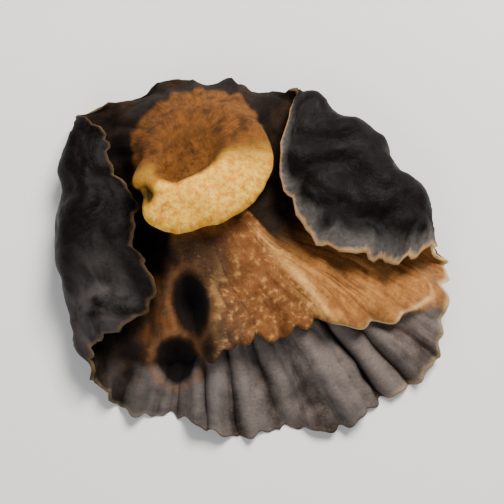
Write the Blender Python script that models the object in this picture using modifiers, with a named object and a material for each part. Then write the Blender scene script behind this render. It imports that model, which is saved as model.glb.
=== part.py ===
"""Dried wood ear mushroom: one thin leathery cap, curled and folded, lying with its attached side up."""

import bmesh
import bpy
import numpy as np

# Driving dimensions, in millimetres and degrees: attachment point, height of its scar, twist of the folds
MM = 0.001
BASE = (-19.0, 31.0)
SCAR_HEIGHT = 20.0
TWIST = 12.0
# Thickness of the flesh, how far its lowest places are pressed flat, and the middle of its outline
FLESH_AT_BASE = 2.1
FLESH_IN_CAP = 1.1
FLESH_AT_MARGIN = 0.85
PRESS = 0.25
CENTRE = (-8.29, 11.2)

# Each table gives (azimuth, value) pairs around the attachment point
# Rolled lip: radius of the hollow inside it, slope of its inner side, outer radius, curl under it,
# and how upright the wall under it stands
HOLLOW = ((-165, 10), (-152, 12.5), (-138, 12), (-125, 10.8), (-110, 9), (-92, 7.4), (-67, 6.8),
          (-40, 7), (-12, 7.8), (20, 8.4), (50, 7.5), (90, 6), (140, 6), (180, 7))
PIT_SHIFT = (-3.2, -1.8)
RISE = ((-168, 6), (-150, 46), (-130, 62), (-60, 68), (0, 60), (30, 40), (55, 6), (95, -12),
        (150, -12), (178, -6))
BROW = ((-172, 12), (-160, 14), (-150, 17), (-138, 19), (-123, 20), (-110, 19.6), (-95, 17.8),
        (-67, 17.2), (-46, 16.8), (-23, 16.6), (-2, 16.2), (18, 14.5), (45, 12), (90, 10), (130, 10),
        (165, 11))
UNDERCUT = ((-170, 0.3), (-140, 0.8), (-95, 0.9), (-60, 0.8), (-10, 0.6), (20, 0.3), (60, 0), (100, 0),
            (150, 0))
STEEP = ((-165, 0.85), (-145, 1), (10, 1), (40, 0.8), (70, 0.6), (110, 0.5), (150, 0.55), (175, 0.7))
# Cap: wall under the lip, then a first fold line and its height, then the margin and its height
DROP = ((-150, 8), (-116, 8.5), (-107, 7.6), (-97, 0.6), (-77, 0), (-60, 0), (-53, 0.7), (-40, 6.6),
        (-30, 8.6), (-10, 9.5), (20, 9), (50, 7), (75, 4), (110, 3), (140, 4), (165, 7))
FOLD_AT = ((-178, 27), (-165, 29), (-150, 33), (-135, 40), (-120, 46), (-105, 44), (-88, 41.5),
           (-70, 40.5), (-58, 41.8), (-53, 44.2), (-46, 48.6), (-38, 54), (-31, 57.5), (-22, 46),
           (-10, 41), (5, 40), (20, 39), (35, 33), (50, 24), (70, 18), (100, 16.5), (140, 19),
           (160, 23))
FOLD_HEIGHT = ((-178, -0.6), (-150, -1.2), (-135, 1.2), (-120, 4.5), (-105, 6.5), (-93, 7.5),
               (-84, 12.8), (-57, 13.4), (-45, 9), (-36, 7.5), (-28, 4.5), (-18, 2), (0, -1),
               (30, -0.8), (50, 4), (70, 6), (100, 5.5), (140, 5), (160, 2))
REACH = ((-172, 51), (-165, 56), (-159, 59), (-148, 64), (-139, 62), (-130, 58), (-118, 55),
         (-100, 57), (-88, 60), (-75, 60), (-60, 66), (-48, 68), (-38, 65), (-30, 60), (-20, 59),
         (-7, 64), (4, 67), (12, 70), (18, 68), (23, 64), (28, 57), (33, 46), (38, 36), (45, 29),
         (54, 25), (65, 22), (80, 20.5), (97, 19.5), (115, 21), (132, 22), (145, 24), (158, 29),
         (168, 38), (179, 48))
FOOT = ((-175, 1.5), (-150, 1), (-130, 3), (-115, 3), (-100, -0.8), (-88, 3), (-74, -1.8), (-62, 3),
        (-50, -1.6), (-42, 2.8), (-33, 3.5), (-22, 3.2), (-14, 4.2), (-4, 2), (5, 1.5), (30, 1.5),
        (50, 3), (65, -0.8), (80, 3), (95, -1.4), (115, 3), (135, -1.4), (155, 2))
# Tuck that hangs the cap's tan front over the dark skirt
TUCK = ((-130, 0), (-112, 0.15), (-96, 0.7), (-82, 1), (-60, 1), (-45, 1), (-36, 0.85), (-27, 0.15),
        (-20, 0), (60, 0), (150, 0))
TUCK_LENGTH = 7.6
TUCK_OVERLAP = 8.2
TUCK_DROP = 4.0
# Rolled flaps: point on the fold line, way it faces, radius, turn, resting height, bow of the fold line
LEFT_ROLL = (-43.5, 6.0, 184.0, 6.2, 181.0, 0.5, 0.006)
RIGHT_ROLL = (21.5, 24.5, 42.0, 5.6, 173.0, 0.5, 0.008)
BOW_END = 26.0
# Webs and pockets beside the folded front: place, half width, half length, way it runs, height
MARKS = ((-22.5, -7.2, 1.5, 4.4, 14.0, 2.4), (-21.5, -0.3, 3.3, 5.4, 97.0, -5.4),
         (-24.8, -12.6, 3.8, 4.0, 95.0, -4.8), (-28.6, -1.5, 1.8, 6.0, 97.0, 2.4))

# Mesh: ribs around, and stations along each rib on the lip, wall, front, fold and skirt
RIBS = 108
STATIONS = (8, 2, 6, 6, 5)
STEP = 0.25


def smooth(t):
    t = np.clip(t, 0.0, 1.0)
    return t * t * (3.0 - 2.0 * t)


def around(azimuth, table):
    """Smooth closed curve through (azimuth, value) pairs that never overshoots them."""
    x = np.array([pair[0] for pair in table], float)
    y = np.array([pair[1] for pair in table], float)
    count = len(x)
    gap = np.diff(np.append(x, x[0] + 360.0))
    rise = np.diff(np.append(y, y[0])) / gap
    before = np.roll(rise, 1)
    slope = np.where(before * rise > 0, 2 * before * rise / (before + rise + 1e-12), 0.0)
    turned = np.mod(np.asarray(azimuth, float) - x[0], 360.0) + x[0]
    i = np.clip(np.searchsorted(x, turned, side="right") - 1, 0, count - 1)
    j = (i + 1) % count
    t = (turned - x[i]) / gap[i]
    start = y[i] * (1 + 2 * t) * (1 - t) ** 2 + slope[i] * gap[i] * t * (1 - t) ** 2
    end = y[j] * t * t * (3 - 2 * t) + slope[j] * gap[i] * t * t * (t - 1)
    return start + end


def knob_headings(azimuth):
    """Stations along the flesh and the heading at each, for the hollow, the lip and the wall under it."""
    inner = azimuth - TWIST
    hollow = around(inner, HOLLOW)
    rise = around(inner, RISE)
    band = np.maximum(around(inner, BROW) - hollow, 4.0)
    under = around(inner, UNDERCUT)
    drop = around(azimuth, DROP)
    steep = around(inner, STEEP)
    nil = 0.0 * azimuth
    stations = [nil, hollow - 4.5, hollow - 3.0, hollow - 0.5, hollow + 1.5, hollow + band - 1.0]
    headings = [nil - 12, nil - 12, rise, rise - 6, nil - 2, nil - 24]
    down = stations[-1] + 3.2
    back = down + 1.0 + 2.0 * under
    wall = back + 0.8 + drop
    stations += [down, back, back + 0.8, wall]
    headings += [-92 * steep - 45 * under, -96 * steep - 45 * under, -84 * steep, -84 * steep]
    return stations, headings


def ribs(azimuth):
    """Radius and height along every rib, and where its knob, fold and margin come."""
    azimuth = np.asarray(azimuth, float)
    stations, headings = knob_headings(azimuth)
    station = np.stack(stations, axis=1)
    heading = np.radians(np.stack(headings, axis=1))
    length = np.diff(station, axis=1)
    middle = 0.5 * (heading[:, 1:] + heading[:, :-1])
    knob_r = (length * np.cos(middle)).sum(axis=1)
    knob_z = SCAR_HEIGHT + (length * np.sin(middle)).sum(axis=1)
    lip_end = station[:, -2]
    knob_end = station[:, -1] + 1.5
    fold_r = np.maximum(around(azimuth, FOLD_AT), knob_r + 3.0)
    fold_z = around(azimuth, FOLD_HEIGHT)
    lobes = 1.3 * wave(azimuth, 9, 0.5) + 0.9 * wave(azimuth, 17, 1.2)
    reach = around(azimuth, REACH)
    reach = np.maximum(reach + lobes * np.clip(reach / 50, 0, 1), fold_r + 2.0)
    foot = around(azimuth, FOOT)
    front = np.hypot(fold_r - knob_r, fold_z - knob_z)
    skirt = np.hypot(reach - fold_r, foot - fold_z)
    front_angle = np.arctan2(fold_z - knob_z, fold_r - knob_r)
    skirt_angle = np.arctan2(foot - fold_z, reach - fold_r)
    fold = station[:, -1] + front
    margin = fold + skirt
    ends = [station[:, -1] + 1.0, fold - 0.5, fold + 0.5, margin + 5.0]
    turns = [front_angle, front_angle, skirt_angle, skirt_angle]
    station = np.concatenate([station, np.stack(ends, axis=1)], axis=1)
    heading = np.concatenate([heading, np.stack(turns, axis=1)], axis=1)
    line = np.arange(0.0, float(margin.max()) + 6.0, STEP)
    along = np.stack([np.interp(line, station[k], heading[k]) for k in range(len(azimuth))])
    reach_of = int(2.0 / STEP)
    window = np.hanning(2 * reach_of + 3)[1:-1]
    window = window / window.sum()
    padded = np.pad(along, ((0, 0), (reach_of, reach_of)), mode="edge")
    along = sum(weight * padded[:, k:k + line.size] for k, weight in enumerate(window))
    radius = np.cumsum(np.cos(along), axis=1) * STEP
    height = np.cumsum(np.sin(along), axis=1) * STEP + SCAR_HEIGHT
    radius = radius - radius[:, :1]
    return radius, height, lip_end, knob_end, fold, margin


def sample(table, s):
    """Values of each rib's table at distances s along the flesh."""
    place = np.clip(s / STEP, 0, table.shape[1] - 1.001)
    i = place.astype(int)
    f = place - i
    row = np.arange(len(table))[:, None]
    return table[row, i] * (1 - f) + table[row, i + 1] * f


def wave(angle, count, phase):
    return np.sin(np.radians(angle) * count + phase)


def pleats(azimuth):
    """Uneven radiating pleats, between -1 and 1."""
    bent = azimuth + 2.0 * wave(azimuth, 9, 0.7) + 1.0 * wave(azimuth, 17, 2.0)
    size = 0.7 + 0.3 * wave(azimuth, 13, 1.1)
    return size * (wave(bent, 41, 0.4) + 0.25 * wave(bent, 82, 1.6))


def ruffle(azimuth):
    """Uneven scallops along the edge of the tuck, in millimetres."""
    return 0.8 * wave(azimuth, 37, 1.3) + 0.65 * wave(azimuth, 61, 0.4) + 0.9 * wave(azimuth, 17, 2.2)


def crumple(x, y):
    """Slow unevenness of the dried flesh."""
    a = np.sin(0.31 * x + 0.17 * y + 0.6) * np.sin(0.12 * x - 0.29 * y + 1.9)
    b = np.sin(0.47 * x - 0.22 * y + 2.4) * np.sin(0.26 * x + 0.41 * y + 0.3)
    c = np.sin(0.83 * x + 0.35 * y + 1.1) * np.sin(-0.38 * x + 0.77 * y + 2.8)
    return 0.9 * a + 0.6 * b + 0.25 * c


def roll(x, y, z, fold):
    """Roll everything beyond a straight fold line upwards and back over the cap."""
    px, py, way, radius, turn, level, bow = fold
    nx = np.cos(np.radians(way))
    ny = np.sin(np.radians(way))
    along = (y - py) * nx - (x - px) * ny
    bowed = bow * BOW_END ** 2 * (1 - np.exp(-(along / BOW_END) ** 2))
    beyond = (x - px) * nx + (y - py) * ny + bowed + 0.5 * np.sin(0.33 * along + 0.8)
    d = np.maximum(beyond, 0.0)
    angle = np.minimum(d / radius, np.radians(turn))
    rest = d - radius * angle
    raised = z - level
    out = radius * np.sin(angle) + rest * np.cos(angle) - raised * np.sin(angle)
    up = radius * (1 - np.cos(angle)) + rest * np.sin(angle) + raised * np.cos(angle)
    inside = beyond > 0
    shift = np.where(inside, out - beyond, 0.0)
    return x + nx * shift, y + ny * shift, np.where(inside, level + up, z)


def marks(x, y):
    """Short webs and pockets beside the folded front."""
    height = 0.0 * x
    for mx, my, half, length, way, lift in MARKS:
        c = np.cos(np.radians(way))
        s = np.sin(np.radians(way))
        along = (x - mx) * c + (y - my) * s
        across = (y - my) * c - (x - mx) * s
        height = height + lift * np.exp(-(along / length) ** 2 - (across / half) ** 2)
    return height


def stations(azimuth, lip_end, knob_end, fold_at, margin, counts):
    """Distances along the flesh where each rib has points, and where its tuck or roll starts."""
    tuck = around(azimuth, TUCK)
    rolled = 1.0 - np.clip(tuck * 4.0, 0.0, 1.0)
    zone = TUCK_LENGTH + rolled * np.clip(margin - fold_at - TUCK_LENGTH - 6.0, 0.0, 11.0)
    zone = np.minimum(zone, 0.6 * (margin - fold_at))
    start = fold_at + np.where(tuck > 0.01, ruffle(azimuth) * np.minimum(tuck, 1.0), 0.0)
    ends = [0.0 * start, lip_end, knob_end, start, start + zone, margin]
    runs = []
    for first, last, count in zip(ends[:-1], ends[1:], counts):
        share = np.arange(count)[None, :] / count
        runs.append(first[:, None] + (last - first)[:, None] * share)
    runs.append(margin[:, None])
    return np.concatenate(runs, axis=1), start[:, None]


def tuck_under(a, s, r, z, start, margin):
    """Fold the flesh back and down, then outwards again, with a ruffled edge."""
    amount = around(a, TUCK)
    done = smooth((s - start) / TUCK_LENGTH)
    eased = smooth((s - start) / np.maximum(margin - start, 1.0))
    lifted = np.exp(-((s - start - 1.0) / 3.5) ** 2) * amount
    r = r - amount * TUCK_OVERLAP * (done - eased)
    z = z - amount * TUCK_DROP * (done - eased)
    return r, z + lifted * (0.7 * wave(a, 29, 0.9) + 0.5 * wave(a, 47, 2.0)), lifted


def skirt_folds(a, s, start, outer):
    """Height of the skirt's pleats and of the frilled margin."""
    fan = smooth((a + 124) / 14) * (1 - smooth((a + 34) / 10)) * np.where(np.abs(a + 79) < 60, 1.0, 0.0)
    height = fan * smooth((s - start - 2.5) / 7.0) * 1.8 * pleats(a)
    frill = 0.8 * wave(a, 31, 0.2) + 0.6 * wave(a, 19, 1.0)
    calm = 1 - np.exp(-((a + 16) / 14) ** 2)
    room = np.clip(around(a, FOOT), 0, 2)
    return height + smooth((outer - 0.8) / 0.2) * calm * frill * room * 0.5


def wall_creases(a, s, lip_end, knob_end):
    """Outward size of the wrinkles that run down the wall under the lip."""
    creases = 0.45 * wave(a, 21, 0.3) + 0.25 * wave(a, 34, 1.7)
    hang = smooth((s - lip_end + 1) / 4) * (1 - smooth((s - knob_end - 6) / 8))
    return creases * hang * (1 - np.exp(-((a + 62) / 36) ** 2))


def thickness(s, outer, lifted, lip_end):
    """Flesh thickness: stout at the lip, thin in the cap, thinnest at the margin and in tight folds."""
    flesh = FLESH_AT_BASE + (FLESH_IN_CAP - FLESH_AT_BASE) * smooth((s - 10.0) / 9.0)
    flesh = flesh + (FLESH_AT_MARGIN - FLESH_IN_CAP) * smooth((outer - 0.6) / 0.4)
    under = np.exp(-((s - lip_end - 0.5) / 3.0) ** 2)
    return flesh * (1 - 0.35 * lifted) * (1 - 0.4 * under)


def cap(azimuth, counts):
    """Middle surface of the flesh at every rib and station: x, y, z in millimetres, and thickness."""
    azimuth = np.asarray(azimuth, float)
    radius, height, lip_end, knob_end, fold_at, margin = ribs(azimuth)
    s, start = stations(azimuth, lip_end, knob_end, fold_at, margin, counts)
    lip_end, knob_end, margin = lip_end[:, None], knob_end[:, None], margin[:, None]
    a = azimuth[:, None] + 0.0 * s
    r = sample(radius, s)
    z = sample(height, s)
    # Margin brought to its own height above the ground
    outer = np.clip((s - knob_end) / (margin - knob_end), 0, 1)
    z = z + (around(azimuth, FOOT)[:, None] - sample(height, margin)) * smooth(outer)
    r, z, lifted = tuck_under(a, s, r, z, start, margin)
    r = r + wall_creases(a, s, lip_end, knob_end)
    z = z + skirt_folds(a, s, start, outer)
    turn = TWIST * (1 - smooth((r - 12.0) / 30.0))
    way = np.radians(a - turn)
    off = 1 - smooth(r / 13.0)
    x = BASE[0] + r * np.cos(way) + PIT_SHIFT[0] * off
    y = BASE[1] + r * np.sin(way) + PIT_SHIFT[1] * off
    z = z + crumple(x, y) * smooth((s - knob_end + 4) / 10.0) * 0.8 + marks(x, y)
    # Sharp crest down the right side of the folded front
    crest = np.exp(-((a - turn + 51.5 + 3.0 * (1 - smooth((r - 12) / 20))) / 3.2) ** 2)
    z = z + crest * smooth((s - knob_end) / 6) * (1 - smooth((s - start + 1) / 3)) * 1.7
    x, y, z = roll(x, y, z, LEFT_ROLL)
    x, y, z = roll(x, y, z, RIGHT_ROLL)
    flesh = thickness(s, outer, lifted, lip_end)
    z = np.maximum(z, 0.5 * flesh - PRESS)
    return x - CENTRE[0], y - CENTRE[1], z, flesh


def rib_azimuths(count):
    """Azimuths of the ribs, closer together where the cap is long and pleated."""
    fine = np.linspace(-180.0, 180.0, 2881)
    pleated = smooth((fine + 118) / 12) * (1 - smooth((fine + 30) / 8))
    weight = (around(fine, REACH) * 0.55 + 8.0) * (1.0 + 1.1 * pleated)
    run = np.concatenate([[0.0], np.cumsum(0.5 * (weight[1:] + weight[:-1]))])
    return np.interp(np.linspace(0, run[-1], count + 1), run, fine)


def make_material():
    material = bpy.data.materials.new("wood_ear_flesh")
    material.use_nodes = True
    shader = material.node_tree.nodes["Principled BSDF"]
    shader.inputs["Base Color"].default_value = (0.17, 0.09, 0.045, 1.0)
    shader.inputs["Roughness"].default_value = 0.7
    return material


def make_wood_ear(collection):
    """One closed piece of flesh: a grid laid along the ribs, closed around, then thickened."""
    azimuth = rib_azimuths(RIBS)
    x, y, z, flesh = cap(azimuth, STATIONS)
    columns, rows = x.shape
    mesh = bpy.data.meshes.new("wood_ear")
    grid = bmesh.new()
    bmesh.ops.create_grid(grid, x_segments=columns - 1, y_segments=rows - 1, size=1.0)
    thick = grid.verts.layers.deform.new("flesh")
    for vert in grid.verts:
        i = int(round((vert.co.x + 1.0) / 2.0 * (columns - 1)))
        j = int(round((vert.co.y + 1.0) / 2.0 * (rows - 1)))
        k = i % (columns - 1)
        vert.co = (x[k, j] * MM, y[k, j] * MM, z[k, j] * MM)
        vert[thick][0] = flesh[k, j] / FLESH_AT_BASE
    bmesh.ops.remove_doubles(grid, verts=grid.verts, dist=0.00001)
    grid.to_mesh(mesh)
    grid.free()
    ear = bpy.data.objects.new("wood_ear", mesh)
    collection.objects.link(ear)
    ear.vertex_groups.new(name="flesh")
    shell = ear.modifiers.new("flesh", "SOLIDIFY")
    shell.thickness = FLESH_AT_BASE * MM
    shell.offset = 0.0
    shell.vertex_group = "flesh"
    shell.use_quality_normals = True
    shell.use_rim = True
    mesh.materials.append(make_material())
    return ear


def settle(ear):
    """Apply the thickness and press the lowest places flat, as feet on the ground."""
    graph = bpy.context.evaluated_depsgraph_get()
    solid = bpy.data.meshes.new_from_object(ear.evaluated_get(graph))
    ear.modifiers.clear()
    ear.data = solid
    for vert in solid.vertices:
        vert.co.z = max(vert.co.z, 0.0)
    body = bmesh.new()
    body.from_mesh(solid)
    if body.calc_volume(signed=True) < 0:
        bmesh.ops.reverse_faces(body, faces=body.faces)
    body.to_mesh(solid)
    body.free()
    solid.shade_smooth()


def main():
    for item in list(bpy.data.objects):
        bpy.data.objects.remove(item)
    collection = bpy.data.collections.new("wood_ear_mushroom")
    bpy.context.scene.collection.children.link(collection)
    ear = make_wood_ear(collection)
    bpy.context.view_layer.update()
    settle(ear)


main()
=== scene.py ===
"""A dried wood ear mushroom: its flesh in fine detail, velvety and tan outside, black and smooth inside."""

import math
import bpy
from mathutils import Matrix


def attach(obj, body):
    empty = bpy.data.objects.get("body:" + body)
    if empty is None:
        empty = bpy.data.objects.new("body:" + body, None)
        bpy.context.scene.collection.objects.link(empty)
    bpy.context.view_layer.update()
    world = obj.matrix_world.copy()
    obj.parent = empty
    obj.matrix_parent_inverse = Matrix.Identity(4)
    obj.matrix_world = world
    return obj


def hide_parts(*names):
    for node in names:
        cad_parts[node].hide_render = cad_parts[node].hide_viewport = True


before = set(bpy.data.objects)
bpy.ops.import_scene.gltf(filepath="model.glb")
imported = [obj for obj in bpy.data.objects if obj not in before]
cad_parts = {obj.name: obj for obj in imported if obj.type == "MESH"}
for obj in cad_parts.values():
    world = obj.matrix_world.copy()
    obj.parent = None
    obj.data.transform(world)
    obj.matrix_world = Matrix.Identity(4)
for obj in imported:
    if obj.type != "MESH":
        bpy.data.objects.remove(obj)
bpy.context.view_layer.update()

from types import SimpleNamespace

import bmesh
import bpy
import numpy as np
from mathutils import Vector, noise

# Lengths are in millimetres, angles in degrees and phases in radians, unless a comment says otherwise
# A pair whose name ends in _ON or _OFF is a ramp: where it starts and how long it is
MM = 0.001

# Driving dimensions: attachment point, height of its scar, twist of the folds, and radii where it fades
BASE = (-19.0, 31.0)
SCAR_HEIGHT = 20.0
TWIST = 12.0
TWIST_OFF = (12.0, 30.0)
# Thickness of the flesh, how far its lowest places are pressed flat, and the middle of its outline
FLESH_AT_BASE = 2.1
FLESH_IN_CAP = 1.1
FLESH_AT_MARGIN = 0.85
PRESS = 0.25
CENTRE = (-8.29, 11.2)
# Where the flesh thins: along it, and as a share of the way from the knob to the margin
CAP_THIN_ON = (10.0, 9.0)
MARGIN_THIN_ON = (0.6, 0.4)
# Share of the thickness that is lost in the tuck, under the lip (whose place and width follow) and in the
# skirt, and the share that is left at the scar
THINNER_IN_TUCK = 0.35
THINNER_UNDER_LIP = 0.4
UNDER_LIP = (0.5, 3.0)
THINNER_SKIRT = 0.3
SCAR_SHARE = 0.45
SCAR_THICK_ON = (0.0, 9.0)

# Each table gives (azimuth, value) pairs around the attachment point
# Rolled lip: radius of the hollow inside it, slope of its inner side, outer radius, curl under it,
# and how upright the wall under it stands
HOLLOW = ((-165, 10), (-152, 12.5), (-138, 12), (-125, 10.8), (-110, 9), (-92, 7.4), (-67, 6.8),
          (-40, 7), (-12, 7.8), (20, 8.4), (50, 7.5), (90, 6), (140, 6), (180, 7))
RISE = ((-168, 6), (-150, 46), (-130, 62), (-60, 68), (0, 60), (30, 40), (55, 6), (95, -12),
        (150, -12), (178, -6))
BROW = ((-172, 12), (-160, 14), (-150, 17), (-138, 19), (-123, 20), (-110, 19.6), (-95, 17.8),
        (-67, 17.2), (-46, 16.8), (-23, 16.6), (-2, 16.2), (18, 14.5), (45, 12), (90, 10), (130, 10),
        (165, 11))
UNDERCUT = ((-170, 0.3), (-140, 0.8), (-95, 0.9), (-60, 0.8), (-10, 0.6), (20, 0.3), (60, 0), (100, 0),
            (150, 0))
STEEP = ((-165, 0.85), (-145, 1), (10, 1), (40, 0.8), (70, 0.6), (110, 0.5), (150, 0.55), (175, 0.7))
# Cap: wall under the lip, then a first fold line and its height, then the margin and its height
DROP = ((-150, 8), (-116, 8.5), (-107, 7.6), (-97, 0.6), (-77, 0), (-60, 0), (-53, 0.7), (-40, 6.6),
        (-30, 8.6), (-10, 9.5), (20, 9), (50, 7), (75, 4), (110, 3), (140, 4), (165, 7))
FOLD_AT = ((-178, 27), (-165, 29), (-150, 33), (-135, 40), (-120, 46), (-105, 44), (-88, 41.5),
           (-70, 40.5), (-58, 41.8), (-53, 44.2), (-46, 48.6), (-38, 54), (-31, 57.5), (-22, 46),
           (-10, 41), (5, 40), (20, 39), (35, 33), (50, 24), (70, 18), (100, 16.5), (140, 19),
           (160, 23))
FOLD_HEIGHT = ((-178, -0.6), (-150, -1.2), (-135, 1.2), (-120, 4.5), (-105, 6.5), (-93, 7.5),
               (-84, 12.8), (-57, 13.4), (-45, 9), (-36, 7.5), (-28, 4.5), (-18, 2), (0, -1),
               (30, -0.8), (50, 4), (70, 6), (100, 5.5), (140, 5), (160, 2))
REACH = ((-172, 51), (-165, 56), (-159, 59), (-148, 64), (-139, 62), (-130, 58), (-118, 55),
         (-100, 57), (-88, 60), (-75, 60), (-60, 66), (-48, 68), (-38, 65), (-30, 60), (-20, 59),
         (-7, 64), (4, 67), (12, 70), (18, 68), (23, 64), (28, 57), (33, 46), (38, 36), (45, 29),
         (54, 25), (65, 22), (80, 20.5), (97, 19.5), (115, 21), (132, 22), (145, 24), (158, 29),
         (168, 38), (179, 48))
FOOT = ((-175, 1.5), (-150, 1), (-130, 3), (-115, 3), (-100, -0.8), (-88, 3), (-74, -1.8), (-62, 3),
        (-50, -1.6), (-42, 2.8), (-33, 3.5), (-22, 3.2), (-14, 4.2), (-4, 2), (5, 1.5), (30, 1.5),
        (50, 3), (65, -0.8), (80, 3), (95, -1.4), (115, 3), (135, -1.4), (155, 2))
# Tuck that hangs the cap's tan front over the dark skirt
TUCK = ((-130, 0), (-112, 0.15), (-96, 0.7), (-82, 1), (-60, 1), (-45, 1), (-36, 0.85), (-27, 0.15),
        (-20, 0), (60, 0), (150, 0))
TUCK_LENGTH = 7.6
TUCK_OVERLAP = 8.2
TUCK_DROP = 4.0

# Stretches of the flesh from the scar over the lip: hollow's floor and side, brim, turn, undercut and wall
FLOOR_END = 4.5
SIDE_START = 3.0
SIDE_END = 0.5
BRIM_START = 1.5
BRIM_END = 1.0
LEAST_BRIM = 4.0
TURN_LENGTH = 3.2
BACK_LENGTH = 1.0
UNDERCUT_LENGTH = 2.0
WALL_START = 0.8
# Headings on those stretches, up from level
FLOOR_SLOPE = -12
SIDE_EASE = 6
BRIM_SLOPES = (-2, -24)
TURN_SLOPES = (-92, -96)
UNDERCUT_SLOPE = 45
WALL_SLOPE = -84
# How far the hollow's floor is drawn sideways, and the radius where that ends
PIT_SHIFT = (-3.2, -1.8)
PIT_REACH = 13.0
# Beyond the wall: end of the knob, start of the front, least length of front and skirt, half widths of the
# fold and of every bend, and how far the headings and the profile run on past the margin
KNOB_PAST_WALL = 1.5
FRONT_PAST_WALL = 1.0
LEAST_FRONT = 3.0
LEAST_SKIRT = 2.0
FOLD_HALF = 0.5
BEND_HALF = 2.0
PAST_MARGIN = (5.0, 6.0)
# Reach of the margin from which its lobes have their full size, and length of flesh for its frays
FULL_LOBES = 50.0
FULL_FRAYS = 60.0

# Waves around the mushroom, each as its size, count and phase
LOBES = ((1.3, 9, 0.5), (0.9, 17, 1.2))
RUFFLE = ((0.8, 37, 1.3), (0.65, 61, 0.4), (0.9, 17, 2.2))
TUCK_RIPPLE = ((0.7, 29, 0.9), (0.5, 47, 2.0))
FRILL = ((0.8, 31, 0.2), (0.6, 19, 1.0))
FRAYS = ((0.5, 71, 0.5), (0.35, 113, 2.1))
CREASES = ((0.45, 21, 0.3), (0.25, 34, 1.7))
PLEATS = ((1.0, 41, 0.4), (0.25, 82, 1.6))
PLEAT_SWAY = ((2.0, 9, 0.7), (1.0, 17, 2.0))
PLEAT_SWELL = ((0.3, 13, 1.1),)
PLEAT_SIZE = 0.7
# Slow unevenness: size, then two waves, each as radians by millimetre of x, the same of y, and phase
CRUMPLE = ((0.9, (0.31, 0.17, 0.6), (0.12, -0.29, 1.9)),
           (0.6, (0.47, -0.22, 2.4), (0.26, 0.41, 0.3)),
           (0.25, (0.83, 0.35, 1.1), (-0.38, 0.77, 2.8)))
CRUMPLE_SHARE = 0.8
CRUMPLE_ON = (-4.0, 10.0)
# Pleated part of the skirt, its pleats, and the frilled margin with the calm place in it
FAN_ON = (-124.0, 14.0)
FAN_OFF = (-34.0, 10.0)
FAN_MIDDLE = -79.0
FAN_HALF = 60.0
PLEATS_ON = (2.5, 7.0)
PLEAT_HEIGHT = 1.8
FRILL_ON = (0.8, 0.2)
FRILL_ROOM = 2.0
FRILL_SHARE = 0.5
CALM_MARGIN = (-16.0, 14.0)
# Wrinkles down the wall under the lip: where they run, where the wall is smooth, and how uneven they are
CREASES_ON = (-1.0, 4.0)
CREASES_OFF = (6.0, 8.0)
SMOOTH_WALL = (-62.0, 36.0)
CREASE_MEAN = 0.45
CREASE_VARIES = 0.9
CREASE_MOST = 1.1
CREASE_PATCHES = (13.0, 4.4)
# Middle and width of the tuck's lifted edge
TUCK_LIFT = (1.0, 3.5)

# Rolled flaps: point on the fold line, way it faces, radius, turn, resting height, bow of the fold line
LEFT_ROLL = (-43.5, 6.0, 184.0, 6.2, 181.0, 0.5, 0.006)
RIGHT_ROLL = (21.5, 24.5, 42.0, 5.6, 173.0, 0.5, 0.008)
BOW_END = 26.0
# Waver of the fold line: size, turns in radians by millimetre, and phase
WAVER = (0.5, 0.33, 0.8)
# Webs and pockets beside the folded front: place, half width, half length, way it runs, height
MARKS = ((-22.5, -7.2, 1.5, 4.4, 14.0, 2.4), (-21.5, -0.3, 3.3, 5.4, 97.0, -5.4),
         (-24.8, -12.6, 3.8, 4.0, 95.0, -4.8), (-28.6, -1.5, 1.8, 6.0, 97.0, 2.4))
# Crest between the front and the wing: azimuth, half width, height, its sway near the lip, where it shows,
# and the thin line of painted highlight along its top, which grows outwards
CREST_AT = -51.5
CREST_WIDTH = 3.2
CREST_LIFT = 1.7
CREST_SWAY = 3.0
CREST_SWAY_OFF = (12.0, 20.0)
CREST_ON = (0.0, 6.0)
CREST_OFF = (-1.0, 3.0)
CREST_HIGHLIGHT_WIDTH = 1.05
CREST_HIGHLIGHT_LEAST = 0.35
CREST_HIGHLIGHT_ON = (15.0, 22.0)

# Fine mesh: ribs around, and stations along each rib on the lip, wall, front, fold and skirt
RIBS = 372
STATIONS = (26, 8, 24, 24, 22)
STEP = 0.1
# Ribs are closer where the cap is long, by a share of its reach and a least value, and where it is pleated.
# That is worked out on many more azimuths than there are ribs
RIB_WEIGHTS = (0.55, 8.0)
PLEATED_WEIGHT = 1.1
PLEATED_ON = (-118.0, 12.0)
PLEATED_OFF = (-30.0, 8.0)
FINE_AZIMUTHS = 2881
# Fold zone: least tuck that counts, how fast a roll gives way to it, a roll's spare and added length, and
# the largest share of the skirt
LEAST_TUCK = 0.01
ROLL_FADE = 4.0
ROLL_SPARE = 6.0
ROLL_MORE = 11.0
ZONE_MOST = 0.6
# A station in the hollow, which faces up
HOLLOW_STATION = 12
# Places in a table stop this far short of its length, in steps, and divisors stay above the least ones
TABLE_END = 1.001
LEAST_SLOPE = 1e-12
LEAST_LENGTH = 1e-6
# Points that are closer than this, in metres, are merged
MERGE_DISTANCE = 1e-6

# Where the finish's zones start and end. Lip, pit and knob: along the flesh, from the hollow's radius or
# the lip's end. Front and wing: twisted azimuths. Skirt: along the flesh, from the tuck
LIP_ON = (-1.5, 2.0)
LIP_OFF = (-0.5, 2.5)
LIP_MIDDLE = -66.0
LIP_HALF = 78.0
LIP_SHARPNESS = 8
PIT_OFF = (-2.0, 2.5)
KNOB_OFF = (0.5, 7.0)
FRONT_ON = (-3.0, 7.0)
FRONT_OFF = (-50.0, 3.0)
FRONT_LEFT = -86.0
FRONT_SPREAD = 28.0
SPREAD_OFF = (16.0, 16.0)
WING_ON = (-53.0, 4.0)
WING_OFF = (-12.0, 14.0)
WING_PAST_KNOB_ON = (6.0, 14.0)
SKIRT_ON = (1.0, 3.0)
SKIRT_FILL = 1.6
SIDE_ON = (-98.0, 40.0)
RIGHT_ON = (8.0, 8.0)
BACK_ON = (14.0, 8.0)
POCKET_ON = (0.25, 0.4)
TUCK_EDGE = (1.0, 0.55)
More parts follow.
